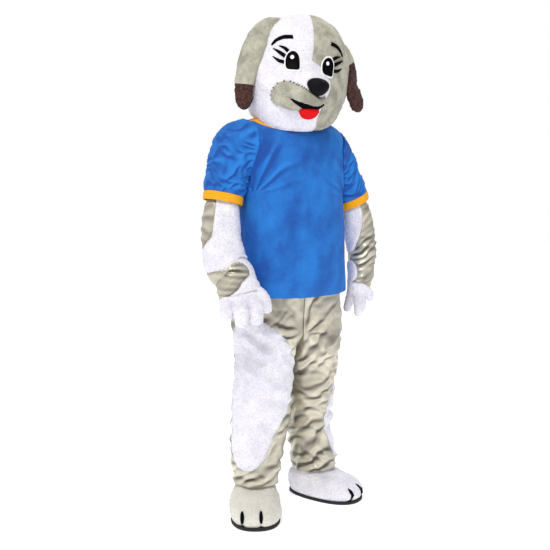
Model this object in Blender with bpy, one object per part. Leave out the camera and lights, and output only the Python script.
"""A worn dog costume: head, shirt, plush and satin suit, gloves and feet.

Heights are measured from the floor. Everything hangs on one empty that puts the origin at the
shoulders, where the wearer carries the costume. The wearer faces -Y, so the wearer's left is +X.

Every garment piece is a wall on a grid of points. Rows follow the tube of cloth and columns go
round it, from the front (angle 0) towards the wearer's left (angle 90). Pieces that share a grid
share its points and normals, so the rims of a seam run side by side. The grids join unlike
sections, which is why their faces are made here and not by a modifier.
"""
import math
from collections import namedtuple

import bpy
import numpy as np
from mathutils import Vector
from mathutils.bvhtree import BVHTree

HOLD_HEIGHT = 1.45
SEAM_HALF = 0.00017
GAP = 0.0004
CLOTH = 0.003
PLUSH = 0.003
HEAD_WALL = 0.012
FOOT_WALL = 0.006
SOLE = 0.012
PAD_CLEARANCE = 0.0006
SIDES = {"right": -1, "left": 1}

WHITE = (0.90, 0.90, 0.90)
GREY_PLUSH = (0.47, 0.46, 0.40)
SATIN = (0.42, 0.40, 0.34)
BLUE = (0.01, 0.12, 0.52)
YELLOW = (0.94, 0.47, 0.01)
BROWN = (0.09, 0.035, 0.025)
BLACK = (0.01, 0.01, 0.012)
RED = (0.80, 0.01, 0.01)

Section = namedtuple("Section", "z x y wide front back drop")
Station = namedtuple("Station", "x y z side fore")
Spread = namedtuple("Spread", "z start end")
Level = namedtuple("Level", "h wide front back")
Edge = namedtuple("Edge", "h angle")
Slab = namedtuple("Slab", "x y z wide thick turn")
Stroke = namedtuple("Stroke", "u v half")
Joint = namedtuple("Joint", "x y z r")
Disc = namedtuple("Disc", "u v wide tall height lean")
Foot = namedtuple("Foot", "x y splay scale")
Sole = namedtuple("Sole", "z centre half wide egg")

SHIRT = (
    Section(0.840, 0.001, -0.022, 0.212, 0.164, 0.168, 0.003),
    Section(0.890, 0.001, -0.022, 0.210, 0.168, 0.164, 0.002),
    Section(0.980, 0.001, -0.022, 0.206, 0.170, 0.154, 0.0),
    Section(1.080, 0.002, -0.020, 0.203, 0.168, 0.144, 0.0),
    Section(1.180, 0.000, -0.018, 0.200, 0.162, 0.137, 0.0),
    Section(1.280, -0.002, -0.014, 0.202, 0.152, 0.132, 0.0),
    Section(1.360, -0.004, -0.010, 0.204, 0.142, 0.127, 0.004),
    Section(1.415, -0.004, -0.010, 0.199, 0.134, 0.122, 0.014),
    Section(1.450, -0.004, -0.010, 0.182, 0.127, 0.116, 0.026),
    Section(1.474, -0.004, -0.010, 0.152, 0.116, 0.106, 0.036),
)
SHIRT_ROWS = (0.840, 0.910, 1.010, 1.110, 1.210, 1.310, 1.380, 1.425, 1.453, 1.474)
BODY_ROWS = 5
BODY_INSIDE = 0.010
WAIST_Z = 0.900
HIPS = (
    Section(0.690, 0.0, 0.0, 0.216, 0.138, 0.145, 0.0),
    Section(0.740, 0.0, 0.0, 0.220, 0.140, 0.148, 0.0),
    Section(0.820, 0.000, -0.006, 0.204, 0.142, 0.138, 0.0),
    Section(0.900, 0.000, -0.018, 0.198, 0.150, 0.122, 0.0),
)
RIGHT_LEG = (
    Section(0.112, -0.152, -0.036, 0.084, 0.086, 0.086, 0.0),
    Section(0.160, -0.150, -0.034, 0.088, 0.090, 0.088, 0.0),
    Section(0.250, -0.140, -0.030, 0.100, 0.098, 0.094, 0.0),
    Section(0.360, -0.128, -0.026, 0.111, 0.106, 0.100, 0.0),
    Section(0.440, -0.121, -0.020, 0.112, 0.108, 0.102, 0.0),
    Section(0.540, -0.113, -0.012, 0.107, 0.110, 0.108, 0.0),
    Section(0.630, -0.108, -0.004, 0.106, 0.120, 0.124, 0.0),
)
LEFT_LEG = (
    Section(0.112, 0.130, 0.036, 0.088, 0.088, 0.086, 0.0),
    Section(0.160, 0.128, 0.036, 0.088, 0.088, 0.086, 0.0),
    Section(0.250, 0.112, 0.032, 0.082, 0.086, 0.090, 0.0),
    Section(0.360, 0.104, 0.024, 0.084, 0.090, 0.092, 0.0),
    Section(0.440, 0.104, 0.018, 0.090, 0.096, 0.096, 0.0),
    Section(0.540, 0.107, 0.010, 0.098, 0.106, 0.106, 0.0),
    Section(0.630, 0.108, 0.002, 0.104, 0.120, 0.124, 0.0),
)
CROTCH_Z = 0.690
LEG_PATCHES = {
    "right": (
        Spread(0.185, -62.0, -28.0),
        Spread(0.215, -80.0, -8.0),
        Spread(0.270, -94.0, 14.0),
        Spread(0.340, -104.0, 34.0),
        Spread(0.420, -106.0, 48.0),
        Spread(0.540, -106.0, 56.0),
        Spread(0.640, -106.0, 40.0),
    ),
    "left": (
        Spread(0.185, 74.0, 98.0),
        Spread(0.230, 58.0, 116.0),
        Spread(0.300, 48.0, 130.0),
        Spread(0.370, 54.0, 124.0),
        Spread(0.420, 74.0, 104.0),
    ),
}
PATCH_TOP_RISE = {"right": 0.040, "left": 0.0}

ARMS = {
    "right": (
        Station(-0.264, -0.152, 0.859, 0.080, 0.050),
        Station(-0.270, -0.138, 0.897, 0.077, 0.056),
        Station(-0.270, -0.120, 0.928, 0.069, 0.062),
        Station(-0.276, -0.112, 0.940, 0.069, 0.062),
        Station(-0.287, -0.104, 0.949, 0.077, 0.070),
        Station(-0.296, -0.084, 0.991, 0.0752, 0.070),
        Station(-0.299, -0.066, 1.033, 0.0720, 0.067),
        Station(-0.2965, -0.052, 1.086, 0.0700, 0.066),
        Station(-0.2905, -0.044, 1.140, 0.0660, 0.0635),
        Station(-0.2855, -0.040, 1.172, 0.0620, 0.0610),
    ),
    "left": (
        Station(0.293, -0.032, 0.841, 0.0460, 0.0430),
        Station(0.306, -0.022, 0.879, 0.0500, 0.0490),
        Station(0.315, -0.012, 0.928, 0.0535, 0.0535),
        Station(0.320, -0.006, 0.971, 0.0555, 0.0555),
        Station(0.317, -0.002, 1.006, 0.0569, 0.0569),
        Station(0.306, 0.000, 1.062, 0.0600, 0.0600),
        Station(0.295, 0.000, 1.109, 0.0590, 0.0590),
        Station(0.2835, 0.000, 1.146, 0.0550, 0.0550),
    ),
}
SLEEVES = {
    "right": (
        Station(-0.2835, -0.0390, 1.184, 0.0700, 0.0700),
        Station(-0.2740, -0.0350, 1.223, 0.0720, 0.0740),
        Station(-0.2560, -0.0280, 1.285, 0.0760, 0.0830),
        Station(-0.2340, -0.0180, 1.345, 0.0830, 0.0920),
        Station(-0.2040, -0.0120, 1.390, 0.0820, 0.0960),
        Station(-0.1560, -0.0100, 1.408, 0.0700, 0.0880),
    ),
    "left": (
        Station(0.2800, 0.0000, 1.158, 0.0640, 0.0640),
        Station(0.2640, 0.0000, 1.195, 0.0660, 0.0680),
        Station(0.2300, 0.0000, 1.260, 0.0700, 0.0760),
        Station(0.1950, -0.0020, 1.320, 0.0730, 0.0840),
        Station(0.1600, -0.0050, 1.358, 0.0720, 0.0880),
        Station(0.1100, -0.0080, 1.375, 0.0660, 0.0820),
    ),
}
ARM_INSIDE = 0.010
NECK_BAND_WIDTH = 0.014
NECK_BAND_RISE = (0.0, -0.10, 1.0)
HEAD_SEAT = 0.0003
PROBE = 0.05
PROBES = 15
FACE_AWAY = 0.6
JAW_RISE = 0.010

HEAD_AT = (0.034, -0.020, 1.664)
HEAD_YAW = math.radians(-7.0)
HEAD_ROLL = math.radians(9.0)
HEAD = (
    Level(-0.192, 0.130, 0.104, 0.100),
    Level(-0.178, 0.148, 0.128, 0.122),
    Level(-0.145, 0.168, 0.156, 0.144),
    Level(-0.100, 0.181, 0.168, 0.158),
    Level(-0.050, 0.186, 0.172, 0.168),
    Level(0.010, 0.181, 0.166, 0.172),
    Level(0.070, 0.168, 0.158, 0.168),
    Level(0.125, 0.144, 0.138, 0.150),
    Level(0.168, 0.104, 0.102, 0.112),
    Level(0.192, 0.056, 0.056, 0.062),
    Level(0.200, 0.0, 0.0, 0.0),
)
HEAD_ROWS = (-0.192, -0.178, -0.150, -0.122, -0.098, -0.074, -0.046, -0.010, 0.022,
             0.060, 0.105, 0.148, 0.180, 0.200)
HEAD_COLUMNS = 24
MUZZLE_OUT = 0.060
MUZZLE_H = -0.088
MUZZLE_WIDE = 0.42
MUZZLE_TALL = 0.060
MUZZLE_POWER = 2.4
HEAD_SQUARE = 2.2
GREY_EDGE = (
    Edge(-0.200, 0.0),
    Edge(-0.178, 0.0),
    Edge(-0.140, 12.0),
    Edge(-0.090, 21.0),
    Edge(-0.030, 24.0),
    Edge(0.012, 17.0),
    Edge(0.030, 0.0),
    Edge(0.200, 0.0),
)
FACE = {
    "nose": Disc(0.004, -0.070, 0.041, 0.034, 0.034, 0.0),
    "right": Disc(-0.078, 0.016, 0.028, 0.041, 0.002, 4.0),
    "left": Disc(0.052, 0.015, 0.028, 0.041, 0.002, -4.0),
}
EYE_RIM = 0.80
NOSE_TAPER = 0.22
NOSE_EDGE = 0.004
OWN_NORMAL = 0.35
BROWS = {
    "right": (Stroke(-0.150, 0.066, 0.003), Stroke(-0.136, 0.084, 0.005),
              Stroke(-0.114, 0.096, 0.007), Stroke(-0.088, 0.100, 0.006)),
    "left": (Stroke(0.056, 0.100, 0.006), Stroke(0.080, 0.096, 0.007),
             Stroke(0.102, 0.084, 0.005), Stroke(0.116, 0.068, 0.003)),
}
LASHES = (
    (Stroke(-0.022, 0.036, 0.0055), Stroke(-0.036, 0.042, 0.0045), Stroke(-0.050, 0.046, 0.0020)),
    (Stroke(-0.030, 0.019, 0.0055), Stroke(-0.045, 0.024, 0.0045), Stroke(-0.059, 0.028, 0.0020)),
    (Stroke(-0.032, 0.001, 0.0055), Stroke(-0.047, 0.003, 0.0045), Stroke(-0.061, 0.007, 0.0020)),
)
SMILE = (
    Stroke(-0.112, -0.074, 0.020),
    Stroke(-0.102, -0.088, 0.033),
    Stroke(-0.084, -0.096, 0.035),
    Stroke(-0.062, -0.102, 0.029),
    Stroke(-0.036, -0.110, 0.020),
    Stroke(-0.004, -0.117, 0.0145),
    Stroke(0.030, -0.116, 0.0125),
    Stroke(0.056, -0.106, 0.009),
)
MOUTH = (
    Stroke(-0.072, -0.136, 0.002),
    Stroke(-0.052, -0.1370, 0.0035),
    Stroke(-0.022, -0.1385, 0.0045),
    Stroke(0.014, -0.1385, 0.0050),
    Stroke(0.040, -0.1310, 0.0045),
    Stroke(0.058, -0.1210, 0.0020),
)
TONGUE = Disc(0.014, -0.1650, 0.031, 0.0195, 0.008, 0.0)
SMILE_HEIGHT = 0.016
DOME_TOP = 1.12
DOME_END = 0.5
FELT = 0.002
MOUTH_HEIGHT = 0.004
EARS = {
    "right": (
        Slab(-0.090, -0.020, 0.120, 0.030, 0.014, 26.0),
        Slab(-0.116, -0.026, 0.130, 0.038, 0.016, 30.0),
        Slab(-0.150, -0.032, 0.118, 0.043, 0.018, 36.0),
        Slab(-0.180, -0.034, 0.080, 0.046, 0.019, 42.0),
        Slab(-0.203, -0.036, 0.022, 0.046, 0.019, 46.0),
        Slab(-0.217, -0.038, -0.040, 0.044, 0.019, 48.0),
        Slab(-0.224, -0.040, -0.092, 0.040, 0.019, 48.0),
        Slab(-0.222, -0.042, -0.138, 0.036, 0.018, 48.0),
        Slab(-0.214, -0.042, -0.178, 0.024, 0.013, 48.0),
    ),
    "left": (
        Slab(0.098, -0.020, 0.086, 0.028, 0.014, -26.0),
        Slab(0.126, -0.024, 0.094, 0.034, 0.016, -30.0),
        Slab(0.154, -0.026, 0.078, 0.040, 0.018, -36.0),
        Slab(0.176, -0.026, 0.046, 0.044, 0.019, -42.0),
        Slab(0.196, -0.026, 0.006, 0.045, 0.019, -46.0),
        Slab(0.216, -0.026, -0.034, 0.043, 0.019, -48.0),
        Slab(0.236, -0.026, -0.072, 0.040, 0.019, -48.0),
        Slab(0.252, -0.026, -0.106, 0.036, 0.018, -48.0),
        Slab(0.264, -0.026, -0.138, 0.024, 0.013, -48.0),
    ),
}
EAR_TIP_ROW = {"right": 6, "left": 3}
EAR_SQUARE = 2.4
EAR_COLUMNS = 12

FINGERTIP = 0.6
PALMS = {
    "right": (
        Station(-0.260, -0.166, 0.806, 0.050, 0.032),
        Station(-0.261, -0.162, 0.820, 0.070, 0.044),
        Station(-0.262, -0.157, 0.840, 0.080, 0.050),
        Station(-0.264, -0.152, 0.859, 0.080, 0.050),
    ),
    "left": (
        Station(0.278, -0.042, 0.786, 0.024, 0.022),
        Station(0.280, -0.040, 0.797, 0.036, 0.032),
        Station(0.285, -0.037, 0.816, 0.043, 0.039),
        Station(0.293, -0.032, 0.841, 0.046, 0.043),
    ),
}
FINGERS = {
    "right": {
        "outer": (Joint(-0.326, -0.184, 0.792, 0.019), Joint(-0.330, -0.183, 0.810, 0.023),
                  Joint(-0.328, -0.177, 0.832, 0.023), Joint(-0.316, -0.165, 0.852, 0.020)),
        "middle": (Joint(-0.286, -0.218, 0.772, 0.022), Joint(-0.2845, -0.216, 0.793, 0.0255),
                   Joint(-0.2820, -0.203, 0.818, 0.0255), Joint(-0.276, -0.178, 0.840, 0.022)),
        "inner": (Joint(-0.229, -0.218, 0.776, 0.022), Joint(-0.2285, -0.216, 0.797, 0.0255),
                  Joint(-0.2290, -0.203, 0.822, 0.0255), Joint(-0.237, -0.178, 0.844, 0.022)),
        "thumb": (Joint(-0.179, -0.191, 0.808, 0.019), Joint(-0.181, -0.189, 0.828, 0.023),
                  Joint(-0.189, -0.181, 0.853, 0.023), Joint(-0.206, -0.167, 0.874, 0.020)),
    },
    "left": {
        "outer": (Joint(0.320, -0.012, 0.746, 0.014), Joint(0.318, -0.014, 0.763, 0.017),
                  Joint(0.311, -0.020, 0.786, 0.017), Joint(0.300, -0.030, 0.812, 0.014)),
        "middle": (Joint(0.264, -0.082, 0.740, 0.015), Joint(0.264, -0.081, 0.758, 0.018),
                   Joint(0.268, -0.074, 0.784, 0.018), Joint(0.278, -0.054, 0.812, 0.015)),
        "inner": (Joint(0.240, -0.034, 0.750, 0.013), Joint(0.243, -0.034, 0.767, 0.016),
                  Joint(0.252, -0.035, 0.790, 0.016), Joint(0.266, -0.036, 0.812, 0.014)),
        "thumb": (Joint(0.318, -0.076, 0.794, 0.014), Joint(0.317, -0.073, 0.810, 0.017),
                  Joint(0.312, -0.062, 0.828, 0.017), Joint(0.302, -0.046, 0.838, 0.014)),
    },
}
FEET = {"right": Foot(-0.154, -0.028, -22.0, 1.0), "left": Foot(0.118, 0.042, 36.0, 0.93)}
FOOT_ROWS = (
    Sole(0.0124, 0.074, 0.158, 0.086, 0.20),
    Sole(0.030, 0.076, 0.168, 0.095, 0.20),
    Sole(0.052, 0.072, 0.166, 0.095, 0.18),
    Sole(0.074, 0.058, 0.150, 0.090, 0.14),
    Sole(0.090, 0.036, 0.122, 0.083, 0.08),
)
CLAWS = {
    "right": {"outer": -0.052, "inner": 0.016},
    "left": {"outer": 0.008, "inner": -0.048},
}
CLAW_MARKS = (
    Stroke(0.0, 0.022, 0.0030),
    Stroke(0.0, 0.036, 0.0050),
    Stroke(0.0, 0.050, 0.0050),
    Stroke(0.0, 0.064, 0.0025),
)
CLAW_HEIGHT = 0.002
CLAW_FALL = 0.35
CLAW_RUN = 0.28
CLAW_AWAY = 0.5
FOOT_SQUARE = 2.3
SOLE_PROUD = 1.05
SOLE_FOOT = 1.03
SOLE_BEVEL = 0.004
HEM_CLEARANCE = 0.0006
TUCK = 0.005


def material(name, colour, roughness=0.9):
    found = bpy.data.materials.new(name)
    found.use_nodes = True
    surface = found.node_tree.nodes["Principled BSDF"]
    surface.inputs["Base Color"].default_value = (*colour, 1.0)
    surface.inputs["Roughness"].default_value = roughness
    surface.inputs["Metallic"].default_value = 0.0
    return found


def add_object(name, points, faces, colour, roughness=0.9, helper=False):
    """Make one mesh object under the shoulder empty, or a hidden cutter."""
    mesh = bpy.data.meshes.new(name)
    mesh.from_pydata([tuple(p) for p in points], [], faces)
    mesh.validate()
    mesh.shade_smooth()
    mesh.set_sharp_from_angle(angle=math.radians(40))
    made = bpy.data.objects.new(name, mesh)
    made.parent = bpy.data.objects["shoulders"]
    if helper:
        bpy.data.collections["cutters"].objects.link(made)
        made.hide_render = True
        made.display_type = "WIRE"
    else:
        bpy.data.collections["dog_costume"].objects.link(made)
        mesh.materials.append(material(name + "_material", colour, roughness))
    return made


def unit(v):
    v = np.asarray(v, float)
    return v / (np.linalg.norm(v, axis=-1, keepdims=True) + 1e-12)


def read_table(rows, key, at):
    """Read a table smoothly between its rows: cubic Hermite curves on the column named key."""
    table = np.array([tuple(row) for row in rows], float)
    k = table[:, rows[0]._fields.index(key)]
    slope = np.gradient(table, k, axis=0)
    at = np.clip(at, k[0], k[-1])
    i = min(int(np.searchsorted(k, at, side="right")) - 1, len(k) - 2)
    i = max(i, 0)
    step = k[i + 1] - k[i]
    t = (at - k[i]) / step
    a = (1 + 2 * t) * (1 - t) ** 2 * table[i] + t * t * (3 - 2 * t) * table[i + 1]
    b = step * (t * (1 - t) ** 2 * slope[i] - t * t * (1 - t) * slope[i + 1])
    return type(rows[0])(*(a + b))


def between(rows, key, at, field):
    """Read one column of a table with straight lines between its rows."""
    k = [getattr(row, key) for row in rows]
    v = [getattr(row, field) for row in rows]
    if k[0] > k[-1]:
        k, v = k[::-1], v[::-1]
    return float(np.interp(at, k, v))


def round_ring(section, angles, square=2.25):
    """Points of a horizontal section, a soft superellipse with its own front and back depth."""
    points = []
    for a in angles:
        s, c = math.sin(a), math.cos(a)
        reach = (abs(s) ** square + abs(c) ** square) ** (-1 / square)
        deep = section.front if c > 0 else section.back
        x = section.x + section.wide * s * reach
        y = section.y - deep * c * reach
        points.append((x, y, section.z - section.drop * max(0.0, c) ** 1.5))
    return np.array(points)


def even_angles(count, start=0.0):
    return np.radians(start) + np.linspace(0, 2 * math.pi, count, endpoint=False)


def grid_normals(points):
    """Smooth normals of a grid whose columns close round."""
    across = np.roll(points, -1, axis=1) - np.roll(points, 1, axis=1)
    along = np.gradient(points, axis=0)
    return unit(np.cross(across, along))


class Grid:
    """Points and normals of a tube of cloth, and the numbers of its points."""

    def __init__(self, points, normals=None, poles=()):
        self.points = np.array(points, float)
        self.normals = grid_normals(self.points) if normals is None else np.array(normals)
        self.rows, self.columns = self.points.shape[:2]
        self.ids = np.arange(self.rows * self.columns).reshape(self.rows, self.columns)
        for row, beside in poles:
            self.ids[row] = self.ids[row, 0]
            self.points[row] = self.points[row].mean(axis=0)
            self.normals[row] = unit(self.normals[beside].mean(axis=0))

    def cell(self, row, column):
        nxt = (column + 1) % self.columns
        ids = self.ids
        corners = (ids[row, column], ids[row, nxt], ids[row + 1, nxt], ids[row + 1, column])
        halves = ((corners[0], corners[1], corners[2]), (corners[0], corners[2], corners[3]))
        return [tuple(int(i) for i in half) for half in halves if len(set(half)) == 3]

    def panel(self, cells):
        """Triangles of the chosen cells, and each border point's shift off the seam."""
        faces = []
        for row, column in zip(*np.nonzero(cells)):
            faces += self.cell(row, column)
        edges = {(f[i], f[(i + 1) % 3]) for f in faces for i in range(3)}
        border = {a: b for a, b in edges if (b, a) not in edges}
        before = {b: a for a, b in border.items()}
        points = self.points.reshape(-1, 3)
        normals = self.normals.reshape(-1, 3)
        shift = np.zeros_like(points)
        for a, b in border.items():
            into = unit(np.cross(normals[a], points[a] - points[before[a]]))
            out = unit(np.cross(normals[a], points[b] - points[a]))
            middle = unit(into + out)
            shift[a] = middle * SEAM_HALF * min(2.0, 1 / max(0.5, float(middle @ into)))
        return faces, border, shift

    def solid(self, cells, thickness, lift=0.0):
        """A closed wall: outer triangles, inner triangles, and a rim along the border."""
        faces, border, shift = self.panel(cells)
        points = self.points.reshape(-1, 3) + shift
        normals = self.normals.reshape(-1, 3)
        depth = np.broadcast_to(thickness, (self.rows, self.columns, 1)).reshape(-1, 1)
        used = sorted({i for face in faces for i in face})
        outer = {v: i for i, v in enumerate(used)}
        size = len(used)
        shell = [points[v] + normals[v] * lift for v in used]
        shell += [points[v] + normals[v] * (lift - depth[v]) for v in used]
        made = [tuple(outer[v] for v in face) for face in faces]
        made += [tuple(outer[v] + size for v in face[::-1]) for face in faces]
        for a, b in border.items():
            oa, ob = outer[a], outer[b]
            ia, ib = oa + size, ob + size
            if a < b:
                made += [(ob, oa, ib), (oa, ia, ib)]
            else:
                made += [(ob, oa, ia), (ob, ia, ib)]
        return shell, made

    def plug(self, outset, rows=None):
        """The closed solid inside the grid, moved out by outset and capped flat at both ends."""
        points = self.points + self.normals * outset
        if rows is not None:
            points = points[rows]
        count = len(points)
        shell = [p for row in points for p in row]
        at = np.arange(count * self.columns).reshape(count, self.columns)
        made = []
        for row in range(count - 1):
            for column in range(self.columns):
                nxt = (column + 1) % self.columns
                a, b = int(at[row, column]), int(at[row, nxt])
                c, d = int(at[row + 1, nxt]), int(at[row + 1, column])
                made += [(a, b, c), (a, c, d)]
        for row, turned in ((0, True), (count - 1, False)):
            shell.append(points[row].mean(axis=0))
            middle = len(shell) - 1
            for column in range(self.columns):
                a, b = int(at[row, column]), int(at[row, (column + 1) % self.columns])
                made.append((b, a, middle) if turned else (a, b, middle))
        return shell, made


def add_panel(name, grid, cells, thickness, colour, roughness=0.9, lift=0.0):
    points, faces = grid.solid(cells, thickness, lift)
    return add_object(name, points, faces, colour, roughness)


def add_cutter(name, grid, outset, rows=None):
    points, faces = grid.plug(outset, rows)
    return add_object(name, points, faces, WHITE, helper=True)


def cut(target, cutter):
    step = target.modifiers.new("cut_" + cutter.name, "BOOLEAN")
    step.operation = "DIFFERENCE"
    step.solver = "EXACT"
    step.object = cutter


def every_cell(grid):
    return np.ones((grid.rows - 1, grid.columns), bool)


def path_frames(centres, ahead=(0.0, -1.0, 0.0)):
    """For each point of a path: the way along it, the way ahead, and the way to the left."""
    along = unit(np.gradient(centres, axis=0))
    front = unit(np.array(ahead) - along * (along @ np.array(ahead))[:, None])
    return along, front, np.cross(along, front)


def path_grid(stations, rows, columns):
    """A round tube along a path, its rows spread evenly by length."""
    centres = np.array([(s.x, s.y, s.z) for s in stations])
    length = np.r_[0, np.cumsum(np.linalg.norm(np.diff(centres, axis=0), axis=1))]
    table = np.c_[centres, [s.side for s in stations], [s.fore for s in stations]]
    marks = rows if np.ndim(rows) else np.linspace(0, length[-1], rows)
    read = np.array([[np.interp(m, length, table[:, i]) for i in range(5)] for m in marks])
    along, front, left = path_frames(read[:, :3])
    angles = even_angles(columns)
    points = []
    for i, row in enumerate(read):
        side, fore = row[3], row[4]
        ring = row[:3] + np.outer(np.sin(angles) * side, left[i])
        points.append(ring + np.outer(np.cos(angles) * fore, front[i]))
    return Grid(np.array(points))


def blend_angles(start, end, inside, outside):
    """Columns with inside cells from start to end and outside cells on round to start."""
    first = np.linspace(start, end, inside + 1)[:-1]
    rest = np.linspace(end, start + 360.0, outside + 1)[:-1]
    return np.radians(np.r_[first, rest])


LEG_INNER = 8
LEG_OUTER = 16
LEG_COLUMNS = LEG_INNER + LEG_OUTER
CORNER = {"right": (48.0, 132.0), "left": (228.0, 312.0)}
HIP_ROWS = 3
HEM_ROWS = 2
PATCH_ROWS = {"right": 8, "left": 4}
THIGH_TOP = 0.640
THIGH_ROWS = 4
RISE_FROM = 0.54
CROTCH_FROM = 0.56
CROTCH_BLEND = 0.85
LEG_SQUARE = 2.1
TRUNK_SQUARE = 2.3
SEAM_FACING = 0.3
SEAM_TILT = 0.4
PATCH_FADE = 0.10
PATCH_COLUMNS = {"right": (14, 26), "left": (5, 9)}


def hip_ring(z, side, columns):
    """Half of the hip section of one side, from the front rise seam to the back rise seam."""
    section = read_table(HIPS, "z", z)
    sign = SIDES[side]
    share = np.linspace(0, 1, columns + 1)
    angles = sign * share * math.pi
    ring = round_ring(section._replace(x=0.0), angles, TRUNK_SQUARE)
    ring[:, 0] += section.x * np.sin(share * math.pi)
    ring[[0, -1], 0] = 0.0
    return ring


def d_ring(side):
    """The leg's section at the crotch: half of the hips, closed by a flat inner side."""
    outer = hip_ring(CROTCH_Z, side, LEG_OUTER)
    front, back = outer[0], outer[-1]
    inner = np.linspace(front, back, LEG_INNER + 1)
    if side == "right":
        return np.r_[inner[:-1], outer[::-1][:-1]]
    return np.r_[outer[:-1], inner[::-1][:-1]]


def leg_angles(side, z):
    """Column angles of a leg section, so that two columns lie on the plush panel's edges."""
    start, end = CORNER[side]
    if side == "right":
        base = blend_angles(start, end, LEG_INNER, LEG_OUTER)
    else:
        base = blend_angles(end - 360.0, start, LEG_OUTER, LEG_INNER)
    patch = LEG_PATCHES[side]
    edge_in, edge_out = PATCH_COLUMNS[side]
    z_in = min(max(z, patch[0].z), patch[-1].z)
    turn = 2 * math.pi
    wrap = turn if side == "right" else 0.0
    low = math.radians(between(patch, "z", z_in, "start")) + wrap
    high = math.radians(between(patch, "z", z_in, "end")) + wrap
    far = max(patch[0].z - z, z - patch[-1].z, 0.0)
    weight = max(0.0, 1 - far / PATCH_FADE)
    marks = np.arange(LEG_COLUMNS + 1)
    plain = np.r_[base, base[0] + turn]
    knots = [
        (edge_in - LEG_COLUMNS, low - turn),
        (edge_out - LEG_COLUMNS, high - turn),
        (edge_in, low),
        (edge_out, high),
        (edge_in + LEG_COLUMNS, low + turn),
    ]
    guided = np.interp(marks, [k[0] for k in knots], [k[1] for k in knots])
    return (plain * (1 - weight) + guided * weight)[:-1]


def build_leg(side, table):
    patch = LEG_PATCHES[side]
    sign = SIDES[side]
    bottom = HEM_ROWS
    top = bottom + PATCH_ROWS[side]
    heights = list(np.linspace(table[0].z, patch[0].z, HEM_ROWS + 1)[:-1])
    heights += list(np.linspace(patch[0].z, patch[-1].z, PATCH_ROWS[side] + 1))
    if side == "left":
        heights += list(np.linspace(patch[-1].z, THIGH_TOP, THIGH_ROWS + 1)[1:])
    crotch = d_ring(side)
    rows = []
    for z in heights:
        section = read_table(table, "z", z)
        ring = round_ring(section, leg_angles(side, z), LEG_SQUARE)
        rise = PATCH_TOP_RISE[side] * max(0.0, (z - RISE_FROM) / (THIGH_TOP - RISE_FROM))
        ring[:, 2] += rise * np.clip(-(ring[:, 0] - section.x) / section.wide, -1, 1)
        share = min(1.0, max(0.0, (z - CROTCH_FROM) / (CROTCH_Z - CROTCH_FROM)))
        weight = CROTCH_BLEND * share * share
        ring[:, :2] = ring[:, :2] * (1 - weight) + crotch[:, :2] * weight
        rows.append(ring)
    rows.append(crotch)
    crotch_row = len(rows) - 1
    for z in np.linspace(CROTCH_Z, WAIST_Z, HIP_ROWS + 1)[1:]:
        outer = hip_ring(z, side, LEG_OUTER)
        inner = np.linspace(outer[0], outer[-1], LEG_INNER + 1)
        if side == "right":
            rows.append(np.r_[inner[:-1], outer[::-1][:-1]])
        else:
            rows.append(np.r_[outer[:-1], inner[::-1][:-1]])
    points = np.array(rows)
    grid = Grid(points)
    inner_cells = range(0, LEG_INNER) if side == "right" else range(LEG_OUTER, LEG_COLUMNS)
    seams = (0, LEG_INNER) if side == "right" else (0, LEG_OUTER)
    for column in seams:
        facing = -1.0 if column == 0 else 1.0
        for row in range(crotch_row, grid.rows):
            slope = grid.normals[row, column]
            ahead = facing * max(SEAM_FACING, abs(slope[1]))
            grid.normals[row, column] = unit((0.0, ahead, SEAM_TILT * slope[2]))
    for column in list(inner_cells)[1:]:
        if column not in seams:
            grid.normals[crotch_row, column] = (-sign * 1.0, 0.0, 0.0)
    grid.normals[-1, :, 2] = 0.0
    grid.normals[-1] = unit(grid.normals[-1])
    whole = every_cell(grid)
    whole[crotch_row:, list(inner_cells)] = False
    plush = np.zeros_like(whole)
    first, last = PATCH_COLUMNS[side]
    for row in range(bottom, top):
        for column in range(first, last):
            plush[row, column % LEG_COLUMNS] = True
    satin = whole & ~plush
    add_panel(f"leg_satin_{side}", grid, satin, CLOTH, SATIN, 0.35)
    add_panel(f"leg_plush_{side}", grid, plush, PLUSH, WHITE)
    return grid


def add_leg_pair():
    return {"right": build_leg("right", RIGHT_LEG), "left": build_leg("left", LEFT_LEG)}


BODY_COLUMNS = 2 * LEG_OUTER


def shirt_grid():
    angles = even_angles(BODY_COLUMNS)
    return Grid(np.array([round_ring(read_table(SHIRT, "z", z), angles, TRUNK_SQUARE) for z in SHIRT_ROWS]))


def half_cells(grid, front):
    """The cells of the front or the back, split at the sides."""
    cells = np.zeros((grid.rows - 1, grid.columns), bool)
    quarter = grid.columns // 4
    for column in range(grid.columns):
        ahead = column < quarter or column >= 3 * quarter
        cells[:, column] = ahead == front
    return cells


def body_grid(shirt):
    """The suit under the shirt: it meets the trousers at the waist and the shirt at the neck."""
    left, right = hip_ring(WAIST_Z, "left", LEG_OUTER), hip_ring(WAIST_Z, "right", LEG_OUTER)
    waist = np.r_[left[:-1], right[::-1][:-1]]
    count = len(SHIRT_ROWS)
    rows = [waist]
    for row in range(count - BODY_ROWS, count):
        share = (row - count + BODY_ROWS) / (BODY_ROWS - 1)
        inset = BODY_INSIDE * min(1.0, 3 * (1 - share)) + (CLOTH + GAP)
        rows.append(shirt.points[row] - shirt.normals[row] * inset)
    grid = Grid(np.array(rows))
    grid.normals[0, :, 2] = 0.0
    grid.normals[0] = unit(grid.normals[0])
    grid.normals[-1] = shirt.normals[-1]
    return grid


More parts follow.
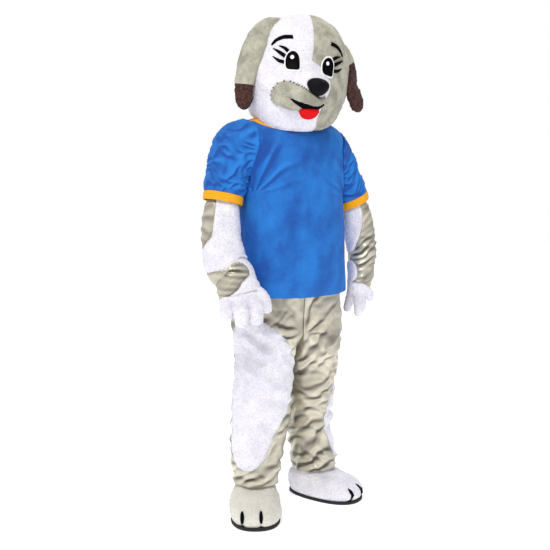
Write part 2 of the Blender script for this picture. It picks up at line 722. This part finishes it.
def limb_grid(side):
    """One tube from the knuckles through the wrist to inside the shoulder."""
    inside = [s._replace(side=s.side - ARM_INSIDE, fore=s.fore - ARM_INSIDE) for s in SLEEVES[side][1:]]
    palm = np.array([(s.x, s.y, s.z) for s in PALMS[side]])
    length = float(np.linalg.norm(np.diff(palm, axis=0), axis=1).sum())
    marks = (*np.linspace(0, length, PALM_ROWS + 1)[:-1], *(length + mark for mark in ARM_MARKS))
    return path_grid((*PALMS[side][:-1], *ARMS[side], *inside), marks, LIMB_COLUMNS)


def add_shirt_and_body():
    shirt = shirt_grid()
    body = body_grid(shirt)
    made = {}
    for name, front in (("front", True), ("back", False)):
        for word, grid, colour in (("shirt_", shirt, BLUE), ("suit_body_", body, WHITE)):
            made[word + name] = add_panel(word + name, grid, half_cells(grid, front), CLOTH, colour)
    shirt_plug = add_cutter("cut_shirt", shirt, GAP)
    body_plug = add_cutter("cut_body", body, GAP)
    for side in SIDES:
        sleeve = path_grid(SLEEVES[side], SLEEVE_MARKS, LIMB_COLUMNS)
        hollow = add_cutter(f"cut_sleeve_{side}", sleeve, -CLOTH)
        cells = every_cell(sleeve)
        band = cells.copy()
        band[1:] = False
        add_panel(f"sleeve_band_{side}", sleeve, band, CLOTH, YELLOW)
        cloth = add_panel(f"shirt_sleeve_{side}", sleeve, cells & ~band, CLOTH, BLUE)
        cut(cloth, shirt_plug)
        limb = limb_grid(side)
        arm = Grid(limb.points[PALM_ROWS:], limb.normals[PALM_ROWS:])
        armhole = add_cutter(f"cut_arm_{side}", arm, -PLUSH)
        for name in ("front", "back"):
            cut(made["shirt_" + name], hollow)
            cut(made["suit_body_" + name], armhole)
        add_arm(side, arm, body_plug)
    neck = shirt.points[-1]
    collar = Grid(np.array([neck, neck + unit(NECK_BAND_RISE) * NECK_BAND_WIDTH]))
    collar.normals[:] = shirt.normals[-1]
    points, faces = collar.solid(every_cell(collar), CLOTH)
    add_object("neck_band", points, faces, YELLOW)
    return collar


SLEEVE_MARKS = (0.0, 0.032, 0.074, 0.120, 0.165, 0.210, 0.260)
ARM_MARKS = (0.0, 0.032, 0.064, 0.0965, 0.1055, 0.130, 0.158, 0.190, 0.228, 0.262, 0.300, 0.340,
             0.410, 0.490)
ARM_PANELS = {
    "right": (
        ("arm_satin_right", SATIN, ((8, 11, 9, 14), (7, 8, 9, 12))),
        ("wrist_satin_right", SATIN, ((0, 1, 9, 14), (1, 2, 9, 16), (2, 3, 8, 17))),
        ("arm_plush_right", WHITE, None),
    ),
    "left": (
        ("arm_plush_left", WHITE,
         ((5, 6, 10, 13), (6, 7, 9, 14), (7, 8, 9, 15), (8, 9, 9, 16), (9, 10, 9, 15))),
        ("forearm_plush_left", WHITE, ((0, 3, 9, 14),)),
        ("arm_satin_left", SATIN, None),
    ),
}
PALM_ROWS = 3
LIMB_COLUMNS = 16
KNUCKLE_RISE = 0.006


def add_arm(side, grid, body_plug):
    """The panels of an arm. A panel is a list of blocks of cells: rows from and to, columns too."""
    left = every_cell(grid)
    for name, colour, blocks in ARM_PANELS[side]:
        cells = np.zeros_like(left)
        for low, high, first, last in blocks or ():
            for column in range(first, last):
                cells[low:high, column % grid.columns] = True
        if blocks is None:
            cells = left
        left = left & ~cells
        made = add_panel(name, grid, cells, PLUSH, colour)
        if blocks is None:
            cut(made, body_plug)


def head_axes():
    """The head's own axes in the standing frame: to its left, ahead and up."""
    c, s = math.cos(HEAD_ROLL), math.sin(HEAD_ROLL)
    roll = np.array([[c, 0, s], [0, 1, 0], [-s, 0, c]])
    c, s = math.cos(HEAD_YAW), math.sin(HEAD_YAW)
    yaw = np.array([[c, -s, 0], [s, c, 0], [0, 0, 1]])
    return yaw @ roll


def from_head(points):
    return np.asarray(points) @ head_axes().T + np.array(HEAD_AT)


def head_ring(h, columns):
    level = read_table(HEAD, "h", h)
    edge = math.radians(between(GREY_EDGE, "h", h, "angle"))
    half = columns // 2
    grey, white = np.linspace(edge, math.pi, half + 1), np.linspace(math.pi, edge + 2 * math.pi, half + 1)
    angles = np.r_[grey[:-1], white[:-1]]
    section = Section(h, 0.0, 0.0, level.wide, level.front, level.back, 0.0)
    ring = round_ring(section, angles, HEAD_SQUARE)
    ahead = (angles + math.pi) % (2 * math.pi) - math.pi
    tall = abs((h - MUZZLE_H) / MUZZLE_TALL) ** MUZZLE_POWER
    bump = np.exp(-np.abs(ahead / MUZZLE_WIDE) ** MUZZLE_POWER - tall)
    ring[:, 1] -= MUZZLE_OUT * bump
    return ring


def head_grid(collar):
    rows = [from_head(head_ring(h, HEAD_COLUMNS)) for h in HEAD_ROWS]
    for row in (1, 2):
        floor = neck_ring(collar, rows[row])[:, 2] + JAW_RISE * row
        rows[row][:, 2] = np.maximum(rows[row][:, 2], floor)
    rows[0] = neck_ring(collar, rows[0])
    return Grid(np.array(rows), poles=((-1, -2),))


def neck_ring(collar, ring):
    """The head's lower edge: it stands on the neck band's upper edge, right round."""
    top = collar.points[-1] - collar.normals[-1] * CLOTH / 2
    centre = top.mean(axis=0)
    bearing = np.arctan2(top[:, 0] - centre[0], -(top[:, 1] - centre[1]))
    mine = np.arctan2(ring[:, 0] - centre[0], -(ring[:, 1] - centre[1]))
    found = [np.interp(mine, bearing, top[:, i], period=2 * math.pi) for i in range(3)]
    found[2] = found[2] + HEAD_SEAT
    return np.array(found).T


class Skin:
    """The faceted surface of a grid, read by rays."""

    def __init__(self, grid):
        faces = []
        for row in range(grid.rows - 1):
            for column in range(grid.columns):
                faces += grid.cell(row, column)
        points = [Vector(p) for p in grid.points.reshape(-1, 3)]
        self.tree = BVHTree.FromPolygons(points, faces)

    def hit(self, origin, way):
        point, normal, _, _ = self.tree.ray_cast(Vector(origin), Vector(unit(way)))
        return np.array(point), np.array(normal)


def face_points(skin, uv):
    """Where rays from before the face, at u to its left and v up, meet the head."""
    axes = head_axes()
    points, normals = [], []
    for u, v in uv:
        point, normal = skin.hit(from_head((u, -FACE_AWAY, v)), axes @ np.array([0.0, 1.0, 0.0]))
        points.append(point)
        normals.append(normal)
    return np.array(points), np.array(normals)


def clear_of(skin, grid, depth, closed=True):
    """How far a pad has to rise so that the facets under it stay below its underside."""
    below = grid.points - grid.normals * np.broadcast_to(depth, (grid.rows, grid.columns, 1))
    most = -PAD_CLEARANCE
    shares = np.linspace(0, 1, PROBES)
    for row in range(grid.rows - 1):
        for column in range(grid.columns if closed else grid.columns - 1):
            nxt = (column + 1) % grid.columns
            corners = below[row, column], below[row, nxt], below[row + 1, nxt], below[row + 1, column]
            way = unit(grid.normals[row, column] + grid.normals[row + 1, nxt])
            for a in shares:
                for b in shares:
                    if b > a:
                        at = corners[0] * (1 - b) + corners[3] * (b - a) + corners[2] * a
                    else:
                        at = corners[0] * (1 - a) + corners[1] * (a - b) + corners[2] * b
                    point, _ = skin.hit(at + way * PROBE, -way)
                    most = max(most, float((point - at) @ way))
    return most + PAD_CLEARANCE


def soft_normals(normals, rows, columns):
    """Average each normal with the piece's own mean, so that its rim walls don't cross."""
    share = OWN_NORMAL
    return unit(share * normals + (1 - share) * unit(normals.mean(axis=0))).reshape(rows, columns, 3)


def disc_grid(skin, disc, rings, columns=12, dome=False):
    """A round pad on the face: rows run from its edge to its centre."""
    lean = math.radians(disc.lean)
    uv, height = [], []
    for share in rings:
        for a in even_angles(columns):
            x, y = disc.wide * share * math.cos(a), disc.tall * share * math.sin(a)
            if dome:
                x *= 1 + NOSE_TAPER * math.sin(a)
            u = disc.u + x * math.cos(lean) - y * math.sin(lean)
            v = disc.v + x * math.sin(lean) + y * math.cos(lean)
            uv.append((u, v))
            rise = NOSE_EDGE + disc.height * math.sqrt(max(0.0, 1 - share * share))
            height.append(rise if dome else disc.height)
    points, normals = face_points(skin, uv)
    count = len(rings)
    soft = soft_normals(normals, count, columns)
    height = np.array(height).reshape(count, columns, 1)
    surface = points.reshape(count, columns, 3) + soft * (height + PAD_CLEARANCE)
    grid = Grid(surface, soft, poles=((-1, -1),))
    grid.points += grid.normals * clear_of(skin, grid, height)
    return grid, height


def ribbon(name, skin, strokes, height, colour, dome=False, steps=2):
    """A strip on the face along strokes, each with its own half width."""
    path = np.array([tuple(stroke) for stroke in strokes])
    marks = np.linspace(0, len(path) - 1, (len(path) - 1) * steps + 1)
    path = np.array([[np.interp(m, range(len(path)), path[:, i]) for i in range(3)] for m in marks])
    way = unit(np.gradient(path[:, :2], axis=0))
    across = np.c_[way[:, 1], -way[:, 0]]
    shares = np.array((-1.0, -0.55, 0.0, 0.55, 1.0)) if dome else np.array((-1.0, 0.0, 1.0))
    uv = [(p[:2] + a * p[2] * s) for p, a in zip(path, across) for s in shares]
    points, normals = face_points(skin, uv)
    rows, columns = len(path), len(shares)
    soft = soft_normals(normals, rows, columns)
    tall = np.full((rows, columns, 1), height)
    if dome:
        tall = tall * np.sqrt(DOME_TOP - shares ** 2)[None, :, None]
        tall[0] *= DOME_END
        tall[-1] *= DOME_END
    grid = Grid(points.reshape(rows, columns, 3) + soft * (tall + PAD_CLEARANCE), soft)
    cells = every_cell(grid)
    cells[:, -1] = False
    across = grid.points[0, 1] - grid.points[0, 0]
    along = grid.points[1, 0] - grid.points[0, 0]
    if np.cross(across, along) @ grid.normals[0, 0] < 0:
        grid = Grid(grid.points[:, ::-1], grid.normals[:, ::-1])
        tall = tall[:, ::-1]
    rise = clear_of(skin, grid, tall, closed=False)
    return add_panel(name, grid, cells, tall, colour, lift=rise)


def add_face(skin):
    grid, height = disc_grid(skin, FACE["nose"], (1.0, 0.78, 0.45, 0.0), dome=True)
    add_panel("nose", grid, every_cell(grid), height, BLACK, 0.5)
    for side in SIDES:
        grid, height = disc_grid(skin, FACE[side], (1.0, EYE_RIM, 0.45, 0.0))
        rim = every_cell(grid)
        rim[1:] = False
        add_panel(f"eye_rim_{side}", grid, rim, height, WHITE)
        add_panel(f"eye_black_{side}", grid, every_cell(grid) & ~rim, height, BLACK, 0.4)
        ribbon(f"brow_{side}", skin, BROWS[side], FELT, BLACK)
        eye = FACE[side]
        for number, lash in enumerate(LASHES):
            turn = -SIDES[side]
            strokes = [Stroke(eye.u + turn * m.u, eye.v + m.v, m.half) for m in lash]
            ribbon(f"lash_{side}_{number + 1}", skin, strokes, FELT, BLACK)
    ribbon("smile_patch", skin, SMILE, SMILE_HEIGHT, GREY_PLUSH, dome=True)
    ribbon("mouth", skin, MOUTH, MOUTH_HEIGHT, BLACK)
    grid, height = disc_grid(skin, TONGUE, (1.0, 0.6, 0.0), 12)
    add_panel("tongue", grid, every_cell(grid), height, RED)


def add_head(collar):
    grid = head_grid(collar)
    thickness = np.full((grid.rows, 1, 1), HEAD_WALL)
    thickness[0] = CLOTH
    grey = every_cell(grid)
    grey[:, HEAD_COLUMNS // 2:] = False
    depth = np.broadcast_to(thickness, (grid.rows, grid.columns, 1))
    add_panel("head_white", grid, every_cell(grid) & ~grey, depth, WHITE)
    add_panel("head_grey", grid, grey, depth, GREY_PLUSH)
    return grid


def slab_grid(slabs, columns):
    """A flat padded lobe: sections across its path, each turned about the path."""
    centres = np.array([(s.x, s.y, s.z) for s in slabs])
    along = unit(np.gradient(centres, axis=0))
    rows = []
    for slab, way in zip(slabs, along):
        turn = math.radians(slab.turn)
        face = np.array([-math.sin(turn), -math.cos(turn), 0.0])
        face = unit(face - way * (way @ face))
        across = np.cross(way, face)
        a = even_angles(columns)
        reach = (np.abs(np.sin(a)) ** EAR_SQUARE + np.abs(np.cos(a)) ** EAR_SQUARE) ** (-1 / EAR_SQUARE)
        ring = np.outer(np.sin(a) * reach * slab.wide, across)
        ring += np.outer(np.cos(a) * reach * slab.thick, face)
        rows.append(np.array((slab.x, slab.y, slab.z)) + ring)
    return rows


def add_ears(head):
    blank = add_cutter("cut_head", head, GAP)
    for side in SIDES:
        slabs = EARS[side][::-1]
        rows = [from_head(row) for row in slab_grid(slabs, EAR_COLUMNS)]
        grid = Grid(np.array(rows))
        split = len(rows) - 1 - EAR_TIP_ROW[side]
        tip = Grid(grid.points[: split + 1])
        upper = Grid(grid.points[split:])
        way = unit(grid.points[split].mean(axis=0) - grid.points[split - 1].mean(axis=0))
        tip.points[-1] -= way * SEAM_HALF
        upper.points[0] += way * SEAM_HALF
        points, faces = upper.plug(0.0)
        cut(add_object(f"ear_{side}", points, faces, GREY_PLUSH), blank)
        points, faces = tip.plug(0.0)
        cut(add_object(f"ear_tip_{side}", points, faces, BROWN), blank)


def finger_grid(joints, columns=8):
    stations = [Station(j.x, j.y, j.z, j.r, j.r) for j in joints]
    tube = path_grid(stations, len(stations), columns)
    way = unit(tube.points[0].mean(axis=0) - tube.points[1].mean(axis=0))
    tip = tube.points[0].mean(axis=0) + way * joints[0].r * FINGERTIP
    points = np.r_[np.broadcast_to(tip, (1, columns, 3)), tube.points]
    grid = Grid(points, poles=((0, 1),))
    grid.normals[0] = way
    return grid


def palm_grid(limb, last):
    """The limb's lower rows, closed over the knuckles."""
    way = unit(limb.points[0].mean(axis=0) - limb.points[1].mean(axis=0))
    end = limb.points[0].mean(axis=0) + way * KNUCKLE_RISE
    points = np.r_[np.broadcast_to(end, (1, limb.columns, 3)), limb.points[:last]]
    grid = Grid(points, np.r_[limb.normals[:1], limb.normals[:last]], poles=((0, 1),))
    grid.normals[0] = way
    return grid


def add_gloves():
    for side in SIDES:
        limb = limb_grid(side)
        palm = palm_grid(limb, PALM_ROWS + 1)
        plug = add_cutter(f"cut_palm_{side}", palm_grid(limb, PALM_ROWS + 3), GAP)
        hand = add_panel(f"glove_{side}", palm, every_cell(palm), PLUSH, WHITE)
        for name, joints in FINGERS[side].items():
            finger = finger_grid(joints)
            made = add_panel(f"finger_{name}_{side}", finger, every_cell(finger), PLUSH, WHITE)
            cut(made, plug)
            cut(hand, add_cutter(f"cut_{name}_{side}", finger, -PLUSH, slice(1, None)))


def foot_grid(side, leg):
    """The foot's upper: its columns follow the trouser leg's, and its top tucks into the hem."""
    foot = FEET[side]
    splay = math.radians(foot.splay)
    ahead = np.array([math.sin(splay), -math.cos(splay)])
    beside = np.array([math.cos(splay), math.sin(splay)])
    hem = leg.points[0]
    bearing = np.arctan2(hem[:, 0] - hem[:, 0].mean(), -(hem[:, 1] - hem[:, 1].mean())) - splay
    rows = []
    for sole in FOOT_ROWS:
        reach = np.abs(np.cos(bearing)) ** FOOT_SQUARE + np.abs(np.sin(bearing)) ** FOOT_SQUARE
        reach = reach ** (-1 / FOOT_SQUARE)
        forward = sole.centre + sole.half * np.cos(bearing) * reach
        lateral = sole.wide * np.sin(bearing) * reach * (1 + sole.egg * np.cos(bearing))
        flat = np.outer(forward, ahead) + np.outer(lateral, beside)
        ring = np.array((foot.x, foot.y)) + foot.scale * flat
        rows.append(np.c_[ring, np.full(len(bearing), sole.z)])
    tuck = leg.points[0] - leg.normals[0] * (CLOTH + TUCK)
    rows.append(tuck + (0.0, 0.0, -TUCK))
    rows.append(leg.points[1] - leg.normals[1] * (CLOTH + HEM_CLEARANCE))
    return Grid(np.array(rows))


def add_feet(legs):
    for side in SIDES:
        grid = foot_grid(side, legs[side])
        thickness = np.full((grid.rows, grid.columns, 1), FOOT_WALL)
        thickness[-2:] = CLOTH
        add_panel(f"foot_{side}", grid, every_cell(grid), thickness, WHITE)
        outline = grid.points[0].copy()
        middle = outline.mean(axis=0)
        grown = middle + (outline - middle) * SOLE_PROUD
        inner = middle + (outline - middle) * SOLE_FOOT
        rows = []
        for ring, z in ((inner, 0.0), (grown, SOLE_BEVEL), (grown, SOLE)):
            row = ring.copy()
            row[:, 2] = z
            rows.append(row)
        points, faces = Grid(np.array(rows)).plug(0.0)
        add_object(f"sole_{side}", points, faces, BLACK)
        add_claws(side, grid)


def add_claws(side, grid):
    """Dark tapered strips on the toe, one each side of its middle."""
    foot = FEET[side]
    skin = Skin(grid)
    splay = math.radians(foot.splay)
    ahead = np.array([math.sin(splay), -math.cos(splay), 0.0])
    beside = np.array([math.cos(splay), math.sin(splay), 0.0])
    for name, offset in CLAWS[side].items():
        points, normals = [], []
        for mark in CLAW_MARKS:
            for share in (-1.0, 0.0, 1.0):
                start = np.array([foot.x, foot.y, mark.v + CLAW_FALL * CLAW_RUN])
                start += beside * (offset + share * mark.half) + ahead * CLAW_AWAY
                way = np.array([0.0, 0.0, -CLAW_FALL]) - ahead
                point, normal = skin.hit(start, way)
                points.append(point)
                normals.append(normal)
        rows = len(CLAW_MARKS)
        soft = soft_normals(np.array(normals), rows, 3)
        surface = np.array(points).reshape(rows, 3, 3) + soft * (CLAW_HEIGHT + PAD_CLEARANCE)
        pad = Grid(surface, soft)
        cells = every_cell(pad)
        cells[:, -1] = False
        rise = clear_of(skin, pad, CLAW_HEIGHT)
        add_panel(f"claw_{name}_{side}", pad, cells, CLAW_HEIGHT, BLACK, lift=rise)


def make_collections():
    for found in list(bpy.data.objects):
        bpy.data.objects.remove(found, do_unlink=True)
    for name in ("dog_costume", "cutters"):
        bpy.context.scene.collection.children.link(bpy.data.collections.new(name))
    empty = bpy.data.objects.new("shoulders", None)
    empty.location = (0.0, 0.0, -HOLD_HEIGHT)
    bpy.data.collections["dog_costume"].objects.link(empty)


def main():
    make_collections()
    legs = add_leg_pair()
    collar = add_shirt_and_body()
    head = add_head(collar)
    add_face(Skin(head))
    add_ears(head)
    add_gloves()
    add_feet(legs)


main()
